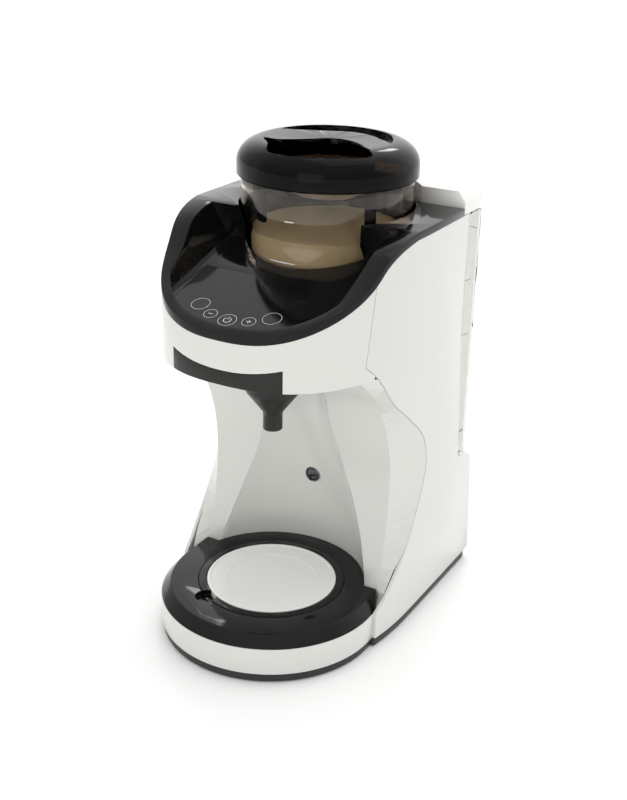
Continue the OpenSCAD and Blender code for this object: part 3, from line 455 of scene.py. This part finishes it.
surface.inputs["Roughness"].default_value = 0.95
surface.inputs["Specular IOR Level"].default_value = 0.2
heap = turned([(0, 329.5), (57, 329.5), (57, 304.5), (63.35, 304.5), (63.35, 336), (63.4, 340),
               (62.6, 343.4), (60, 345.2), (52, 347), (42, 349), (32, 352), (22, 354.5),
               (12, 356.5), (6, 357.4), (0, 357.6)], 90)
for v in heap.verts:
    if v.co.z > 342:
        spread = math.hypot(v.co.x, v.co.y)
        side = max(0.0, 1 - spread / 63)
        lump = noise.noise(v.co / 17) * 3.0 + noise.noise(v.co / 6) * 1.0
        v.co.z += lump * min(1.0, side * 3)
        v.co.x += 8 * side
piece("powder_heap", place(heap, 0, HOPPER_Y), powder, "hopper")

# ---- Hopper lid ----
# A thick round lid in deep smoked plastic, hollow below, with two finger wells that leave an
# S-shaped grip between them. Three ribbed legs under it lock into the bowl.
LID_R, LID_LOW, LID_WALL, LID_TOP, CROWN_R = 76, 387.5, 398, 417, 53
# Far darker than the bowl: all but black, with a brown glow only where it is thin.
smoked_lid = smoked("smoked_abs", "#2b231c", 0.03, 1.22, 0.006)
FRONT_WELL = [(-21, -62), (-6, -66), (12, -65.5), (30, -59), (46, -47.5), (56.5, -34), (52, -26),
              (40, -14), (26, -2), (12, 3), (0, 0), (-12, -11), (-24, -22), (-35, -28),
              (-44, -30), (-38, -38), (-30, -47)]
BACK_WELL = [(53, 8), (47, 24), (34, 42), (16, 51), (-6, 53.5), (-28, 46), (-44, 32), (-52, 12),
             (-46, 13), (-30, 20), (-14, 27), (0, 33), (14, 33), (30, 26), (44, 13)]


def well(outline, base, grow):
    """A prism for cutting a finger well, its outline pushed out by `grow` mm."""
    line = smooth_line(outline, 5, closed=True)
    bm = bmesh.new()
    rim = []
    for k, spot in enumerate(line):
        along = (line[(k + 1) % len(line)] - line[k - 1]).normalized()
        out = Vector((along.y, -along.x)) * grow
        rim.append(bm.verts.new((spot.x + out.x, spot.y + out.y, base)))
    face = bm.faces.new(rim)
    up_faces = bmesh.ops.extrude_face_region(bm, geom=[face])["geom"]
    bmesh.ops.translate(bm, vec=(0, 0, 60), verts=[v for v in up_faces
                                                   if isinstance(v, bmesh.types.BMVert)])
    bmesh.ops.recalc_face_normals(bm, faces=bm.faces)
    return bm


def cut(bm, *tools):
    """Takes the tools away from a closed shape."""
    mesh = bpy.data.meshes.new("blank")
    bm.to_mesh(mesh)
    bm.free()
    blank = bpy.data.objects.new("blank", mesh)
    bpy.context.scene.collection.objects.link(blank)
    cutters = []
    for tool in tools:
        shape = bpy.data.meshes.new("cutter")
        tool.to_mesh(shape)
        tool.free()
        cutter = bpy.data.objects.new("cutter", shape)
        bpy.context.scene.collection.objects.link(cutter)
        step = blank.modifiers.new("cut", "BOOLEAN")
        step.operation = "DIFFERENCE"
        step.solver = "EXACT"
        step.object = cutter
        cutters.append(cutter)
    graph = bpy.context.evaluated_depsgraph_get()
    out = bmesh.new()
    out.from_mesh(blank.evaluated_get(graph).data)
    for thing in [blank, *cutters]:
        bpy.data.objects.remove(thing)
    return out


def lid_solid(skin, low, seat):
    """The lid's solid, with its outline drawn in by `skin` mm."""
    crown = [(CROWN_R + (LID_R - skin - CROWN_R) * math.cos(a),
              LID_WALL + (LID_TOP - skin - LID_WALL) * math.sin(a))
             for a in (math.radians(90 - 9 * k) for k in range(11))]
    body = turned([(0, low), (0, LID_TOP - skin - 0.6), (44, LID_TOP - skin - 0.5), *crown, *seat],
                  120)
    return cut(body, well(FRONT_WELL, 399.5 - skin, skin), well(BACK_WELL, 413.5 - skin, skin))


outer = lid_solid(0, LID_LOW, [(LID_R, LID_LOW + 1.2), (LID_R - 1, LID_LOW)])
hollow = lid_solid(2.4, 380, [(73.6, 397), (72.8, 396.6), (72.8, 380)])
lid = cut(outer, hollow)
soften(lid, 1.6, 3, 50, where=lambda e: min(v.co.z for v in e.verts) > 400
       and max(math.hypot(v.co.x, v.co.y) for v in e.verts) < 69)
for angle in (-118, -28, 152):
    for x, y, wide, deep in ((0, 0, 1.4, 9.5), (-1.2, -3.6, 2.6, 1.4), (-1.2, 3.6, 2.6, 1.4)):
        bmesh.ops.create_cube(lid, size=1, matrix=Matrix.Rotation(math.radians(angle), 4, "Z")
                              @ Matrix.Translation((63 + x, y, 377))
                              @ Matrix.Diagonal((wide, deep, 44, 1)))
lid = piece("hopper_cap", place(lid, 0, HOPPER_Y), smoked_lid, "hopper_lid", "hopper_lid")

# ---- Tank ----
# The water tank behind the head, clear copolyester that shows the white recess through it,
# closed by an off-white satin lid whose edges are rounded all over.
clear = smoked("clear_copolyester", "#dfe0dc", 0.05, 1.2, 0.004)
bm = cad_copy("water_tank")
tank = piece("tank", bm, clear, "water_tank", "water_tank")
bm = cad_copy("tank_lid")
soften(bm, 0.8, 2, 60)
tank_cap = piece("tank_cap", bm, satin_white, "tank_lid", "tank_lid", smooth=65)

# ---- Tank marks ----
# Thin dark level ticks on the side of the tank, printed on the inside of its clear skin. They
# fall a little towards the back, as the photograph shows them.
TICK_X = 104.6
tick_print = moulded("dark_tick_print", "#4c4e4f", "#434546", 0.5)
for side, hand in ((-1, "left"), (1, "right")):
    for step, (y0, z0, y1, z1, tall) in enumerate(((147.2, 344, 164, 338.6, 0.5),
                                                   (144, 296.6, 156.6, 294.9, 0.5),
                                                   (146, 246.2, 158.9, 244.4, 0.5),
                                                   (155, 149.4, 164.1, 148.9, 1.2))):
        bm = bmesh.new()
        fall = Matrix.Rotation(math.atan2(z1 - z0, y1 - y0), 4, "X")
        bmesh.ops.create_cube(bm, size=1, matrix=fall
                              @ Matrix.Diagonal((0.1, math.hypot(y1 - y0, z1 - z0), tall, 1)))
        place(bm, side * TICK_X, (y0 + y1) / 2 + SPOUT_Y, (z0 + z1) / 2)
        piece("tick_%s_%d" % (hand, step + 1), bm, tick_print, "water_tank")

# ---- Back ----
# The rear foot cover and the tank's recess are gloss white like the walls, with the black satin
# power inlet low down. No cord is plugged in.
for node, name in (("rear_cover", "rear_foot_cover"), ("tank_bay", "tank_recess")):
    bm = cad_copy(node)
    soften(bm, 0.8, 3, 50)
    thing = piece(name, bm, gloss_white, "root", node)
dress(satin_black, "power_inlet", "socket_plate", "dosing_base", "powder_chute", "water_pump")

# ---- Inside ----
# What the covers hide: natural acetal gears and guides, a plated steel frame and motor can, a
# cast aluminium heater, a sintered bronze bush, silicone hoses and solder-masked boards.
acetal = moulded("natural_acetal", "#dcd8ce", "#d2cec4", 0.4, grain=1.2, relief=0.01)
dress(acetal, "motor_pinion", "drive_gear", "dosing_wheel", "stirrer", "drawer_guide",
      "water_nozzle", "tank_valve", "valve_seat")
dress(zinc_steel, "chassis", "gear_motor", "pump_clamp", "heater_clamp", "lid_hinge_pins")
cast_aluminium = metal("cast_aluminium", "#cdccc8", "#b9b8b4", 0.45, 3.0)
dress(cast_aluminium, "heater")
bronze = metal("sintered_bronze", "#c9a35c", "#b08a48", 0.4, 0.6)
dress(bronze, "gear_bush")
silicone = moulded("translucent_silicone", "#d6d3cb", "#ccc9c1", 0.5, grain=2, relief=0.02)
dress(silicone, "hopper_seal", "suction_tube", "pressure_tube", "outlet_tube")
board = moulded("solder_mask", "#2f6b45", "#28603d", 0.35, grain=0.8, relief=0.01)
dress(board, "sensor_board", "display_board", "main_board")
